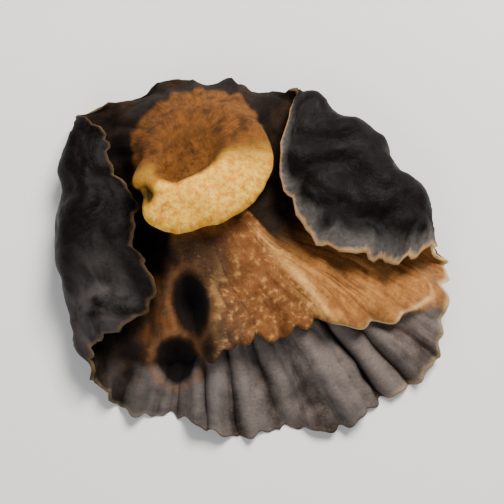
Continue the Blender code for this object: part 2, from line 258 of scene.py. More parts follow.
# Soft patches: middle x and y, half width and half height. The hole is at the left end of the lip, and the
# dark colour in it is painted shade
HOLE = (-30.8, 22.2, 2.5, 3.2)
WEB = (-25.0, -5.0, 7.5, 14.0)
# The shade patch is painted shade below the lip
SHADE = (-19.0, 10.5, 7.5, 6.0)
BRIDGE = (-25.2, -4.6, 4.2, 3.0)
# The painted sheen patch: a painted grey sheen low on the left flap
PAINTED_SHEEN = (-42.0, -2.5, 8.0, 11.0)
SPINE = (-15.9, -1.0, 5.0, 9.0)
# Pale spine down the front: half width, size of its bends, and the x at which their noise is read. Then the
# depth of the dent at the hole
SPINE_WIDTH = 0.8
SPINE_BEND = 1.6
SPINE_NOISE_X = 3.0
DENT = 2.4

# Fine relief: size of its features and a seed for each kind
LUMPS = (4.2, 3.1)
GRAIN = (1.9, 8.4)
SWELLS = (6.5, 2.2)
FIBRES = (2.1, 1.7)
FANS = (3.4, 5.2)
VEINS = (6.5, 9.3)
SMALL_VEINS = (3.1, 2.7)
SPINE_BENDS = (4.0, 6.6)
# Radius of the circle on which radiating patterns are laid out, and how fast they change outwards
RING_RADIUS = 42.0
FIBRE_DRIFT = 0.14
FAN_DRIFT = 0.08
# How high each kind stands, everywhere and on each zone
RELIEF = {
    "everywhere": {"lumps": 0.16, "grain": 0.06},
    "wing": {"fibres": 0.3, "fans": 0.35},
    "front": {"fibres": 0.08, "lumps": 0.26, "swells": 0.3},
    "skirt": {"fans": 0.62, "fibres": 0.2, "lumps": 0.2},
    "lip": {"fibres": 0.05, "grain": 0.16, "lumps": 0.12},
}
RELIEF_ON = (0.0, 4.0)
# Veins on all that isn't tucked, middle and width of the fold where relief fades, and sharpness of ridges
VEIN_DEPTH = 0.38
SMALL_VEIN_SHARE = 0.5
VEINS_ON = (26.0, 10.0)
TIGHT_FOLD = (3.0, 3.2)
RIDGE_SHARPNESS = 2.2

# Colours of the flesh, as seen in daylight, and of the light and shade painted on it
OCHRE = "#DA8E1C"
OCHRE_PALE = "#FFC84C"
OCHRE_DEEP = "#8A4F18"
CARAMEL = "#5E3619"
CARAMEL_PALE = "#8C5A30"
CARAMEL_SHADED_GREY = "#6A4E38"
CARAMEL_SHADED = "#3C2718"
CREST_PALE = "#DDA75E"
AMBER = "#48290F"
AMBER_DARK = "#33200F"
RING_PALE = "#7E5636"
UMBER = "#2C1D12"
UMBER_DARK = "#140D09"
TAN = "#7A4B26"
TAN_PALE = "#AE763C"
SKIRT_DARK = "#2C2624"
SKIRT_GREY = "#665E5A"
MARGIN_PALE = "#E6C48A"
GRIT_DARK = "#2A1A10"
PIT_DARK = "#2A1809"
PIT_BROWN = "#7A4A1E"
BACK_BROWN = "#5E3A1A"
POCKET_DARK = "#0D0908"
INNER_BLACK = "#060403"
INNER_BROWN = "#150D0A"
INNER_BLOOM = "#1D1B1D"
INNER_GREY = "#4A4442"
INNER_EDGE = "#A07C52"
INNER_THIN = "#1C1917"
INNER_PALE = "#6E6864"

# Noises of the finish: scale by millimetre, detail, roughness and warp
VELVET_NOISES = {
    "blotch": (0.17, 4.0, 0.6, 0.4),
    "mottle": (0.75, 5.0, 0.6, 0.1),
    "clouds": (0.36, 3.0, 0.5, 0.0),
    "grit": (1.7, 4.0, 0.75, 0.0),
    "nap": (5.5, 3.0, 0.7, 0.0),
}
STRAND_NOISES = {"fibre": (1.1, 4.0, 0.6, 0.2)}
STRAND_DRIFT = 0.07
INNER_NOISES = {
    "haze": (0.12, 4.0, 0.6, 0.6),
    "crinkle": (0.9, 5.0, 0.6, 0.5),
    "grain": (4.5, 3.0, 0.6, 0.0),
}
# Where each pattern or mark passes from nothing to its full strength
RANGE = {
    "umber": (0.42, 0.72), "amber": (0.42, 0.62), "web": (0.12, 0.7), "caramel": (0.32, 0.68),
    "side": (0.25, 0.75), "flecks": (0.53, 0.64), "crest": (0.3, 0.6), "line": (0.3, 0.62),
    "wing": (0.36, 0.64), "wing_dark": (0.5, 0.66), "skirt": (0.14, 0.62), "knob": (0.15, 0.75),
    "knob_brown": (0.38, 0.62), "knob_dark": (0.46, 0.66), "pit": (0.3, 0.6), "lip": (0.35, 0.65),
    "lip_deep": (0.6, 0.75), "grit_dark": (0.5, 0.75), "grit_pale": (0.55, 0.78), "hole": (0.05, 0.9),
    "ring": (0.02, 0.09), "ring_end": (0.09, 0.2), "pocket": (0.1, 0.3), "rim": (0.97, 0.997),
    "nap": (0.66, 0.72), "speck": (0.52, 0.62), "brown": (0.4, 0.75), "haze": (0.52, 0.8),
    "painted_sheen": (0.3, 0.6), "thin": (0.88, 0.99), "inner_edge": (0.985, 1.015), "dull": (0.4, 0.7),
}
# How strongly each of them covers the colour below
COVER = {
    "web": 0.92, "front": 0.95, "flecks": 0.36, "crest": 0.35, "line": 0.5, "wing_dark": 0.6,
    "skirt": 0.96, "knob_dark": 0.75, "pit": 0.92, "lip_deep": 0.5, "grit_dark": 0.42,
    "grit_pale": 0.2, "hole": 0.95, "pocket": 0.97, "edge": 0.8, "speck": 0.45, "haze": 0.4,
    "painted_sheen": 0.7, "thin": 0.85,
}
# The least that a mark covers where noise or another mark adds to it. The bridge starts below nothing
LEAST = {
    "bridge": -0.1, "shade": 0.6, "spine": 0.05, "line": 0.2, "ring": 0.2, "rim": 0.12,
    "grit_pale": 0.15, "inner_edge": 0.15,
}
# Roughness where noise changes nothing, added dullness of the black side, sheen, and height of the fibres
VELVET_ROUGHNESS = 0.95
INNER_ROUGHNESS = 0.38
INNER_DULLNESS = 0.24
VELVET_SHEEN = 0.12
INNER_SHEEN = 0.08
FIBRE_HEIGHT = 0.4
# Bump: distance in metres and strength
VELVET_BUMP = (0.0006, 0.9)
INNER_BUMP = (0.0005, 0.6)

# Sockets that have no name of their own: value of an attribute, and amount, colours and result of a mix
ATTRIBUTE_VALUE = 2
MIX_AMOUNT = 0
MIX_FIRST = 6
MIX_SECOND = 7
MIX_COLOUR = 2

# Studio, in metres but for the lens, with colours in linear light
FLOOR_HALF = 3.0
FLOOR_COLOUR = (0.80, 0.79, 0.77, 1.0)
FLOOR_ROUGHNESS = 0.85
SKY_COLOUR = (0.90, 0.92, 0.95, 1.0)
SKY_STRENGTH = 0.30
LIGHT_TARGET = (0.0, 0.0, 0.01)
CAMERA_TARGET = (0.0, 0.0, 0.008)
CAMERA_ELEVATION = 84.0
CAMERA_DISTANCE = 0.262
CAMERA_LENS = 85.0
CAMERA_CLIP = 0.01


def smooth(t):
    t = np.clip(t, 0.0, 1.0)
    return t * t * (3.0 - 2.0 * t)


def ramp(value, start, length):
    """0 up to start, 1 from start + length on, smooth between."""
    return smooth((value - start) / length)


def hump(value, middle, width):
    """1 in the middle, falling smoothly to 0 on both sides."""
    return np.exp(-((value - middle) / width) ** 2)


def wave(angle, count, phase):
    return np.sin(np.radians(angle) * count + phase)


def waves(angle, table):
    """Sum of waves around, from a table of sizes, counts and phases."""
    return sum(size * wave(angle, count, phase) for size, count, phase in table)


def around(azimuth, table):
    """Smooth closed curve through (azimuth, value) pairs that never overshoots them."""
    x = np.array([pair[0] for pair in table], float)
    y = np.array([pair[1] for pair in table], float)
    count = len(x)
    gap = np.diff(np.append(x, x[0] + 360.0))
    rise = np.diff(np.append(y, y[0])) / gap
    before = np.roll(rise, 1)
    slope = np.where(before * rise > 0, 2 * before * rise / (before + rise + LEAST_SLOPE), 0.0)
    turned = np.mod(np.asarray(azimuth, float) - x[0], 360.0) + x[0]
    i = np.clip(np.searchsorted(x, turned, side="right") - 1, 0, count - 1)
    j = (i + 1) % count
    t = (turned - x[i]) / gap[i]
    start = y[i] * (1 + 2 * t) * (1 - t) ** 2 + slope[i] * gap[i] * t * (1 - t) ** 2
    end = y[j] * t * t * (3 - 2 * t) + slope[j] * gap[i] * t * t * (t - 1)
    return start + end


def rough(x, y, z, size, seed):
    """Noise between about -1 and 1 on arrays of points, with features of the given size."""
    points = np.stack([x / size + seed, y / size - seed, z / size + 0.5 * seed], axis=-1).reshape(-1, 3)
    values = [noise.noise(point) for point in points.tolist()]
    return np.array(values).reshape(x.shape)


def ridged(x, y, z, size, seed):
    """Noise with sharp ridges, between 0 and 1."""
    return 1.0 - np.clip(RIDGE_SHARPNESS * np.abs(rough(x, y, z, size, seed)), 0.0, 1.0)


def ring(azimuth):
    """Points on a circle, on which the patterns that radiate are laid out."""
    return RING_RADIUS * np.cos(np.radians(azimuth)), RING_RADIUS * np.sin(np.radians(azimuth))


def oval(x, y, middle_x, middle_y, half_x, half_y):
    """A soft oval patch, 1 in its middle."""
    return np.exp(-(((x - middle_x) / half_x) ** 2 + ((y - middle_y) / half_y) ** 2) ** 2)


def twisted(azimuth, radius):
    """Azimuth on the twisted folds, turned back most near the lip."""
    return azimuth - TWIST * (1 - ramp(radius, *TWIST_OFF))


def knob_headings(azimuth):
    """Stations along the flesh and the heading at each, for the hollow, the lip and the wall under it."""
    inner = azimuth - TWIST
    hollow = around(inner, HOLLOW)
    rise = around(inner, RISE)
    band = np.maximum(around(inner, BROW) - hollow, LEAST_BRIM)
    under = around(inner, UNDERCUT)
    steep = around(inner, STEEP)
    level = 0.0 * azimuth
    brim = hollow + band - BRIM_END
    down = brim + TURN_LENGTH
    back = down + BACK_LENGTH + UNDERCUT_LENGTH * under
    wall = back + WALL_START
    stops = [level, hollow - FLOOR_END, hollow - SIDE_START, hollow - SIDE_END, hollow + BRIM_START]
    stops += [brim, down, back, wall, wall + around(azimuth, DROP)]
    headings = [level + FLOOR_SLOPE, level + FLOOR_SLOPE, rise, rise - SIDE_EASE]
    headings += [level + slope for slope in BRIM_SLOPES]
    headings += [slope * steep - UNDERCUT_SLOPE * under for slope in TURN_SLOPES]
    headings += [WALL_SLOPE * steep, WALL_SLOPE * steep]
    return stops, headings


def ribs(azimuth):
    """Radius and height along every rib, and where its lip, knob, fold and margin come."""
    stops, headings = knob_headings(azimuth)
    stop = np.stack(stops, axis=1)
    heading = np.radians(np.stack(headings, axis=1))
    length = np.diff(stop, axis=1)
    middle = 0.5 * (heading[:, 1:] + heading[:, :-1])
    lip_end = stop[:, -2]
    wall_end = stop[:, -1]
    knob_r = (length * np.cos(middle)).sum(axis=1)
    knob_z = SCAR_HEIGHT + (length * np.sin(middle)).sum(axis=1)
    fold_r = np.maximum(around(azimuth, FOLD_AT), knob_r + LEAST_FRONT)
    fold_z = around(azimuth, FOLD_HEIGHT)
    reach = around(azimuth, REACH)
    lobes = waves(azimuth, LOBES) * np.clip(reach / FULL_LOBES, 0, 1)
    reach = np.maximum(reach + lobes, fold_r + LEAST_SKIRT)
    foot = around(azimuth, FOOT)
    fold = wall_end + np.hypot(fold_r - knob_r, fold_z - knob_z)
    margin = fold + np.hypot(reach - fold_r, foot - fold_z)
    front_heading = np.arctan2(fold_z - knob_z, fold_r - knob_r)
    skirt_heading = np.arctan2(foot - fold_z, reach - fold_r)
    ends = [wall_end + FRONT_PAST_WALL, fold - FOLD_HALF, fold + FOLD_HALF, margin + PAST_MARGIN[0]]
    turns = [front_heading, front_heading, skirt_heading, skirt_heading]
    stop = np.concatenate([stop, np.stack(ends, axis=1)], axis=1)
    heading = np.concatenate([heading, np.stack(turns, axis=1)], axis=1)
    line = np.arange(0.0, float(margin.max()) + PAST_MARGIN[1], STEP)
    along = np.stack([np.interp(line, stop[k], heading[k]) for k in range(len(azimuth))])
    along = rounded(along)
    radius = np.cumsum(np.cos(along), axis=1) * STEP
    height = np.cumsum(np.sin(along), axis=1) * STEP + SCAR_HEIGHT
    return radius - radius[:, :1], height, lip_end, wall_end + KNOB_PAST_WALL, fold, margin


def rounded(along):
    """Headings along each rib with their bends rounded."""
    half = int(BEND_HALF / STEP)
    window = np.hanning(2 * half + 3)[1:-1]
    window = window / window.sum()
    padded = np.pad(along, ((0, 0), (half, half)), mode="edge")
    return sum(weight * padded[:, k:k + along.shape[1]] for k, weight in enumerate(window))


def sample(table, s):
    """Values of each rib's table at distances s along the flesh."""
    place = np.clip(s / STEP, 0, table.shape[1] - TABLE_END)
    i = place.astype(int)
    f = place - i
    row = np.arange(len(table))[:, None]
    return table[row, i] * (1 - f) + table[row, i + 1] * f


def pleats(azimuth):
    """Uneven radiating pleats, between about -1 and 1."""
    bent = azimuth + waves(azimuth, PLEAT_SWAY)
    return (PLEAT_SIZE + waves(azimuth, PLEAT_SWELL)) * waves(bent, PLEATS)


def crumple(x, y):
    """Slow unevenness of the dried flesh."""
    height = 0.0 * x
    for size, (ax, ay, a), (bx, by, b) in CRUMPLE:
        height = height + size * np.sin(ax * x + ay * y + a) * np.sin(bx * x + by * y + b)
    return height


def roll(x, y, z, fold):
    """Roll everything beyond a slightly bowed fold line upwards and back over the cap."""
    px, py, way, radius, turn, level, bow = fold
    nx = np.cos(np.radians(way))
    ny = np.sin(np.radians(way))
    along = (y - py) * nx - (x - px) * ny
    bowed = bow * BOW_END ** 2 * (1 - np.exp(-(along / BOW_END) ** 2))
    size, turns, phase = WAVER
    beyond = (x - px) * nx + (y - py) * ny + bowed + size * np.sin(turns * along + phase)
    d = np.maximum(beyond, 0.0)
    angle = np.minimum(d / radius, np.radians(turn))
    rest = d - radius * angle
    raised = z - level
    out = radius * np.sin(angle) + rest * np.cos(angle) - raised * np.sin(angle)
    up = radius * (1 - np.cos(angle)) + rest * np.sin(angle) + raised * np.cos(angle)
    inside = beyond > 0
    shift = np.where(inside, out - beyond, 0.0)
    return x + nx * shift, y + ny * shift, np.where(inside, level + up, z)


def mark_shape(x, y, mark):
    """Shape of one web or pocket, 1 in its middle."""
    mx, my, half, length, way = mark[:-1]
    c = np.cos(np.radians(way))
    s = np.sin(np.radians(way))
    along = (x - mx) * c + (y - my) * s
    across = (y - my) * c - (x - mx) * s
    return np.exp(-(along / length) ** 2 - (across / half) ** 2)


def marks(x, y):
    """Height of the short webs and pockets beside the folded front."""
    return sum(mark[-1] * mark_shape(x, y, mark) for mark in MARKS)


def pockets(x, y):
    """How deep each place lies in the pockets beside the folded front."""
    depth = 0.0 * x
    for mark in MARKS:
        if mark[-1] < 0:
            depth = np.maximum(depth, mark_shape(x, y, mark))
    return depth


def webs(x, y):
    """How much each place belongs to the webs around the pockets."""
    middle_x, middle_y, half_x, half_y = WEB
    near = np.exp(-((x - middle_x) / half_x) ** 4 - ((y - middle_y) / half_y) ** 4)
    return near * (1 - ramp(pockets(x, y), *POCKET_ON))


def stations(azimuth, lip_end, knob_end, fold_at, margin):
    """Distances along the flesh where each rib has points, and where its tuck or roll starts."""
    tuck = around(azimuth, TUCK)
    rolled = 1.0 - np.clip(tuck * ROLL_FADE, 0.0, 1.0)
    zone = TUCK_LENGTH + rolled * np.clip(margin - fold_at - TUCK_LENGTH - ROLL_SPARE, 0.0, ROLL_MORE)
    zone = np.minimum(zone, ZONE_MOST * (margin - fold_at))
    start = fold_at + np.where(tuck > LEAST_TUCK, waves(azimuth, RUFFLE) * np.minimum(tuck, 1.0), 0.0)
    ends = [0.0 * start, lip_end, knob_end, start, start + zone, margin]
    runs = []
    for first, last, count in zip(ends[:-1], ends[1:], STATIONS):
        share = np.arange(count)[None, :] / count
        runs.append(first[:, None] + (last - first)[:, None] * share)
    runs.append(margin[:, None])
    return np.concatenate(runs, axis=1), start[:, None]


def tuck_under(at, r, z):
    """Fold the flesh back and down, then outwards again, with a ruffled edge."""
    amount = around(at.a, TUCK)
    past = at.s - at.start
    done = smooth(past / TUCK_LENGTH)
    eased = smooth(past / np.maximum(at.margin - at.start, 1.0))
    lifted = hump(past, *TUCK_LIFT) * amount
    r = r - amount * TUCK_OVERLAP * (done - eased)
    z = z - amount * TUCK_DROP * (done - eased)
    return r, z + lifted * waves(at.a, TUCK_RIPPLE), lifted


def wall_creases(at):
    """Outward size of the uneven wrinkles that run down the wall under the lip."""
    hang = ramp(at.s - at.lip_end, *CREASES_ON) * (1 - ramp(at.s - at.knob_end, *CREASES_OFF))
    uneven = CREASE_MEAN + CREASE_VARIES * rough(*ring(at.a), 0 * at.a, *CREASE_PATCHES)
    calm = 1 - hump(at.a, *SMOOTH_WALL)
    return waves(at.a, CREASES) * hang * calm * np.clip(uneven, 0.0, CREASE_MOST)


def skirt_folds(at):
    """Height of the skirt's pleats and of the frilled margin."""
    fan = ramp(at.a, *FAN_ON) * (1 - ramp(at.a, *FAN_OFF)) * (np.abs(at.a - FAN_MIDDLE) < FAN_HALF)
    pleated = fan * ramp(at.s - at.start, *PLEATS_ON) * PLEAT_HEIGHT * pleats(at.a)
    calm = 1 - hump(at.a, *CALM_MARGIN)
    room = np.clip(around(at.a, FOOT), 0, FRILL_ROOM)
    return pleated + ramp(at.outer, *FRILL_ON) * calm * waves(at.a, FRILL) * room * FRILL_SHARE


def spread(azimuth):
    """The flesh before it twists and rolls: each point, and where its rib's lip, knob and margin end."""
    radius, height, lip_end, knob_end, fold_at, margin = ribs(azimuth)
    margin = margin + waves(azimuth, FRAYS) * np.clip(margin / FULL_FRAYS, 0, 1) ** 2
    s, start = stations(azimuth, lip_end, knob_end, fold_at, margin)
    at = SimpleNamespace(s=s, start=start, a=azimuth[:, None] + 0.0 * s)
    at.lip_end = lip_end[:, None]
    at.knob_end = knob_end[:, None]
    at.margin = margin[:, None]
    at.outer = np.clip((s - at.knob_end) / (at.margin - at.knob_end), 0, 1)
    r = sample(radius, s)
    z = sample(height, s)
    z = z + (around(azimuth, FOOT)[:, None] - sample(height, at.margin)) * smooth(at.outer)
    r, z, at.lifted = tuck_under(at, r, z)
    at.r = r + wall_creases(at)
    at.z = z + skirt_folds(at)
    at.bend = twisted(at.a, at.r)
    return at


def thickness(at, skirt):
    """Flesh thickness: stout at the lip, thin in the cap, thinnest at the margin and in tight folds."""
    flesh = FLESH_AT_BASE + (FLESH_IN_CAP - FLESH_AT_BASE) * ramp(at.s, *CAP_THIN_ON)
    flesh = flesh + (FLESH_AT_MARGIN - FLESH_IN_CAP) * ramp(at.outer, *MARGIN_THIN_ON)
    flesh = flesh * (1 - THINNER_IN_TUCK * at.lifted)
    flesh = flesh * (1 - THINNER_UNDER_LIP * hump(at.s - at.lip_end, *UNDER_LIP))
    flesh = flesh * (1 - THINNER_SKIRT * skirt)
    return flesh * (SCAR_SHARE + (1 - SCAR_SHARE) * ramp(at.s, *SCAR_THICK_ON))


def zones(at):
    """How much each place belongs to the lip, its pit, the folded front, the wing, skirt and knob."""
    past_hollow = at.s - around(at.a - TWIST, HOLLOW)
    past_lip = at.s - at.lip_end
    from_middle = (at.a - LIP_MIDDLE + 180) % 360 - 180
    strong = np.exp(-(np.abs(from_middle) / LIP_HALF) ** LIP_SHARPNESS)
    left = FRONT_LEFT - FRONT_SPREAD * (1 - ramp(at.r, *SPREAD_OFF))
    outwards = ramp(at.s - at.knob_end, *WING_PAST_KNOB_ON)
    return {
        "lip": ramp(past_hollow, *LIP_ON) * (1 - ramp(past_lip, *LIP_OFF)) * strong,
        "pit": 1 - ramp(past_hollow, *PIT_OFF),
        "front": ramp(at.bend - left, *FRONT_ON) * (1 - ramp(at.bend, *FRONT_OFF)),
        "wing": ramp(at.bend, *WING_ON) * (1 - ramp(at.bend, *WING_OFF)) * outwards,
        "skirt": ramp(at.s - at.start, *SKIRT_ON) * np.clip(around(at.a, TUCK) * SKIRT_FILL, 0, 1),
        "knob": 1 - ramp(past_lip, *KNOB_OFF),
    }


def crest_marks(at):
    """The crest between the folded front and the wing, and the thin line of painted highlight along its
    top.
    """
    swayed = at.bend + CREST_SWAY * (1 - ramp(at.r, *CREST_SWAY_OFF))
    shown = ramp(at.s - at.knob_end, *CREST_ON) * (1 - ramp(at.s - at.start, *CREST_OFF))
    grown = CREST_HIGHLIGHT_LEAST + (1 - CREST_HIGHLIGHT_LEAST) * ramp(at.r, *CREST_HIGHLIGHT_ON)
    return {
        "crest": hump(swayed, CREST_AT, CREST_WIDTH) * shown,
        "line": hump(swayed, CREST_AT, CREST_HIGHLIGHT_WIDTH) * shown * grown,
    }


def flat_marks(at, x, y):
    """Marks of the finish that are placed on the flesh before it rolls."""
    fibre_x, fibre_y = ring(at.a)
    bent = SPINE_BEND * rough(0 * x + SPINE_NOISE_X, y, 0 * x, *SPINE_BENDS)
    return {
        "pocket": pockets(x, y),
        "web": webs(x, y),
        "hole": oval(x, y, *HOLE),
        "shade": oval(x, y, *SHADE),
        "spine": hump(x + bent, SPINE[0], SPINE_WIDTH) * oval(x, y, *SPINE),
        "bridge": oval(x, y, *BRIDGE),
        # side: how far the front is painted lit rather than shaded
        "side": ramp(at.bend, *SIDE_ON),
        "right": ramp(x, *RIGHT_ON) * ramp(y, *BACK_ON),
        "edge": hump(at.s - at.start, *TUCK_EDGE) * around(at.a, TUCK),
        # Pleat ridges, where the skirt is painted lighter as painted highlight
        "ridge": np.clip(0.5 + 0.5 * pleats(at.a), 0, 1),
        "outer": at.outer,
        "flat_x": x,
        "flat_y": y,
        "fibre_x": fibre_x,
        "fibre_y": fibre_y,
        "fibre_s": at.s,
    }


def fine_relief(at, x, y, belongs):
    """Wrinkles, fibres, veins and lumps of the dried flesh, in millimetres along its normal."""
    flat = 0 * x
    wide = np.clip(at.s / RING_RADIUS, 0.0, 1.0) ** 2
    shapes = {
        "lumps": rough(x, y, flat, *LUMPS),
        "grain": rough(x, y, flat, *GRAIN),
        "swells": rough(x, y, flat, *SWELLS),
        "fibres": wide * ridged(*ring(at.a), FIBRE_DRIFT * at.s, *FIBRES),
        "fans": wide * ridged(*ring(at.a), FAN_DRIFT * at.s, *FANS),
    }
    height = flat
    for zone, sizes in RELIEF.items():
        raised = sum(size * shapes[kind] for kind, size in sizes.items())
        height = height + belongs.get(zone, 1.0) * raised
    tucked = np.clip(around(at.a, TUCK), 0, 1)
    veins = ridged(x, y, flat, *VEINS) + SMALL_VEIN_SHARE * ridged(x, y, flat, *SMALL_VEINS)
    height = height - VEIN_DEPTH * veins * ramp(at.s, *VEINS_ON) * (1 - tucked)
    folded = hump(at.s - at.start, *TIGHT_FOLD) * tucked
    return height * ramp(at.s, *RELIEF_ON) * (1 - folded) - DENT * oval(x, y, *HOLE)


def normals_of(x, y, z):
    """Unit normals of the middle surface from its own grid, closed around."""
    place = np.stack([x, y, z], axis=-1)
    along = np.gradient(place, axis=1)
    across = (np.roll(place, -1, axis=0) - np.roll(place, 1, axis=0)) / 2
    normal = np.cross(across, along)
    size = np.linalg.norm(normal, axis=-1, keepdims=True)
    normal = normal / np.maximum(size, LEAST_LENGTH)
    up = -1.0 if normal[:, HOLLOW_STATION, 2].mean() < 0 else 1.0
    return normal * up


def cap(azimuth):
    """Middle surface of the flesh with its fine relief, its thickness, and the marks its finish needs."""
    at = spread(azimuth)
    way = np.radians(at.bend)
    off = 1 - smooth(at.r / PIT_REACH)
    x = BASE[0] + at.r * np.cos(way) + PIT_SHIFT[0] * off
    y = BASE[1] + at.r * np.sin(way) + PIT_SHIFT[1] * off
    z = at.z + crumple(x, y) * ramp(at.s - at.knob_end, *CRUMPLE_ON) * CRUMPLE_SHARE + marks(x, y)
    belongs = {**zones(at), **crest_marks(at), **flat_marks(at, x, y)}
    z = z + belongs["crest"] * CREST_LIFT
    flesh = thickness(at, belongs["skirt"])
    relief = fine_relief(at, x, y, belongs)
    for fold in (LEFT_ROLL, RIGHT_ROLL):
        x, y, z = roll(x, y, z, fold)
    push = normals_of(x, y, z)
    x = x + relief * push[..., 0]
    y = y + relief * push[..., 1]
    z = z + relief * push[..., 2]
    z = np.maximum(z, 0.5 * flesh - PRESS)
    # Where the painted grey sheen lies on the black side, placed after the rolls
    belongs["painted_sheen"] = oval(x, y, *PAINTED_SHEEN)
    return x - CENTRE[0], y - CENTRE[1], z, flesh, belongs


def rib_azimuths():
    """Azimuths of the ribs, closer together where the cap is long and pleated."""
    fine = np.linspace(-180.0, 180.0, FINE_AZIMUTHS)
    pleated = ramp(fine, *PLEATED_ON) * (1 - ramp(fine, *PLEATED_OFF))
    share, least = RIB_WEIGHTS
    weight = (around(fine, REACH) * share + least) * (1.0 + PLEATED_WEIGHT * pleated)
    run = np.concatenate([[0.0], np.cumsum(0.5 * (weight[1:] + weight[:-1]))])
    return np.interp(np.linspace(0, run[-1], RIBS + 1), run, fine)


def flesh_sheet(name):
    """Open sheet along the middle of the flesh, closed around, carrying its finish marks as attributes."""
    x, y, z, flesh, belongs = cap(rib_azimuths())
    columns, rows = x.shape
    grid = bmesh.new()
    layers = {key: grid.verts.layers.float.new(key) for key in belongs}
    thick = grid.verts.layers.deform.new("flesh")
    bmesh.ops.create_grid(grid, x_segments=columns - 1, y_segments=rows - 1, size=1.0)
    for vert in grid.verts:
        i = int(round((vert.co.x + 1.0) / 2.0 * (columns - 1)))
        j = int(round((vert.co.y + 1.0) / 2.0 * (rows - 1)))
        k = i % (columns - 1)
        vert.co = (x[k, j] * MM, y[k, j] * MM, z[k, j] * MM)
        vert[thick][0] = flesh[k, j] / FLESH_AT_BASE
        for key, layer in layers.items():
            vert[layer] = belongs[key][k, j]
    bmesh.ops.remove_doubles(grid, verts=grid.verts, dist=MERGE_DISTANCE)
    if sum(face.normal.z * face.calc_area() for face in grid.faces) < 0:
        bmesh.ops.reverse_faces(grid, faces=grid.faces)
    mesh = bpy.data.meshes.new(name)
    grid.to_mesh(mesh)
    grid.free()
    return mesh


def thickened(name, mesh, materials):
    """The sheet given its thickness, tan outside and black inside, with its feet pressed flat."""
    sheet = bpy.data.objects.new(name + "_sheet", mesh)
    bpy.context.scene.collection.objects.link(sheet)
    sheet.vertex_groups.new(name="flesh")
    for material in materials:
        mesh.materials.append(material)
    shell = sheet.modifiers.new("flesh", "SOLIDIFY")
    shell.thickness = FLESH_AT_BASE * MM
    shell.offset = 0.0
    shell.vertex_group = "flesh"
    shell.use_quality_normals = True
    shell.use_rim = True
    shell.material_offset = 1
    bpy.context.view_layer.update()
    graph = bpy.context.evaluated_depsgraph_get()
    solid = bpy.data.meshes.new_from_object(sheet.evaluated_get(graph))
    solid.name = name
    bpy.data.objects.remove(sheet)
    for vert in solid.vertices:
        vert.co.z = max(vert.co.z, 0.0)
    solid.shade_smooth()
    ear = bpy.data.objects.new(name, solid)
    bpy.context.scene.collection.objects.link(ear)
    return ear


def daylight(code):
    """Linear colour of a hexadecimal one."""
    parts = [int(code[k:k + 2], 16) / 255 for k in (1, 3, 5)]
    return [p / 12.92 if p <= 0.04045 else ((p + 0.055) / 1.055) ** 2.4 for p in parts] + [1.0]


class Flow:
    """A shader socket that takes part in arithmetic."""

    def __init__(self, paint, socket):
        self.paint = paint
        self.socket = socket

    def __add__(self, other):
        return self.paint.maths("ADD", self, other)

    def __radd__(self, other):
        return self.paint.maths("ADD", other, self)

    def __sub__(self, other):
        return self.paint.maths("SUBTRACT", self, other)

    def __rsub__(self, other):
        return self.paint.maths("SUBTRACT", other, self)

    def __mul__(self, other):
        return self.paint.maths("MULTIPLY", self, other)

    def __rmul__(self, other):
        return self.paint.maths("MULTIPLY", other, self)

    def clamped(self):
        return self.paint.maths("ADD", self, 0.0, clamp=True)


class Paint:
    """One material and the shader nodes that colour it."""

    def __init__(self, name):
        self.material = bpy.data.materials.new(name)
        self.material.use_nodes = True
        self.tree = self.material.node_tree
        self.shader = self.tree.nodes["Principled BSDF"]
        self.noises = {}

    def node(self, kind, settings, values, output=0):
        """Adds a node: its settings first, then the values or links of its sockets."""
        made = self.tree.nodes.new(kind)
        for key, value in settings.items():
            setattr(made, key, value)
        for key, value in values.items():
            self.feed(made.inputs[key], value)
        return Flow(self, made.outputs[output])

    def feed(self, socket, value):
        if isinstance(value, Flow):
            self.tree.links.new(value.socket, socket)
        else:
            socket.default_value = value

    def maths(self, operation, first, second, clamp=False):
        settings = {"operation": operation, "use_clamp": clamp}
        return self.node("ShaderNodeMath", settings, {0: first, 1: second})

    def mark(self, name):
        """One of the marks that the flesh carries."""
        return self.node("ShaderNodeAttribute", {"attribute_name": name}, {}, ATTRIBUTE_VALUE)

    def marked(self, **shares):
        """The named marks added up, each by its share."""
        return sum(self.mark(name) * share for name, share in shares.items())

    def place(self, x, y, z):
        return self.node("ShaderNodeCombineXYZ", {}, {0: x, 1: y, 2: z})

    def mix(self, amount, first, second):
        """A colour between two, by an amount from 0 to 1."""
        first = daylight(first) if isinstance(first, str) else first
        second = daylight(second) if isinstance(second, str) else second
        values = {MIX_AMOUNT: amount, MIX_FIRST: first, MIX_SECOND: second}
        return self.node("ShaderNodeMix", {"data_type": "RGBA"}, values, MIX_COLOUR)

    def add_noises(self, place, table):
        """Adds the table's noises, read at a place, and keeps them under their names."""
        for name, (scale, detail, roughness, warp) in table.items():
            values = {"Vector": place, "Scale": scale, "Detail": detail}
            values.update({"Roughness": roughness, "Distortion": warp})
            self.noises[name] = self.node("ShaderNodeTexNoise", {}, values)

    def blend(self, **shares):
        """The named noises added up, each by its share."""
        return sum(self.noises[name] * share for name, share in shares.items())

    def step(self, value, name):
        """How far a value has come through the range of that name, smooth from 0 to 1."""
        low, high = RANGE[name]
        values = {"Value": value, "From Min": low, "From Max": high}
        return self.node("ShaderNodeMapRange", {"interpolation_type": "SMOOTHSTEP"}, values)

    def patches(self, name, **shares):
        """Patches from 0 to 1, where a blend of noises comes through the range of that name."""
        return self.step(self.blend(**shares), name)

    def uneven(self, name, **sizes):
        """A mark whose border wanders with the named noises."""
        return sum(((self.noises[kind] - 0.5) * size for kind, size in sizes.items()), self.mark(name))

    def finish(self, colour, roughness, height, bump, sheen):
        distance, strength = bump
        self.feed(self.shader.inputs["Base Color"], colour)
        self.feed(self.shader.inputs["Roughness"], roughness)
        self.feed(self.shader.inputs["Specular IOR Level"], sheen)
        values = {"Strength": strength, "Distance": distance, "Height": height}
        self.feed(self.shader.inputs["Normal"], self.node("ShaderNodeBump", {}, values))
        return self.material


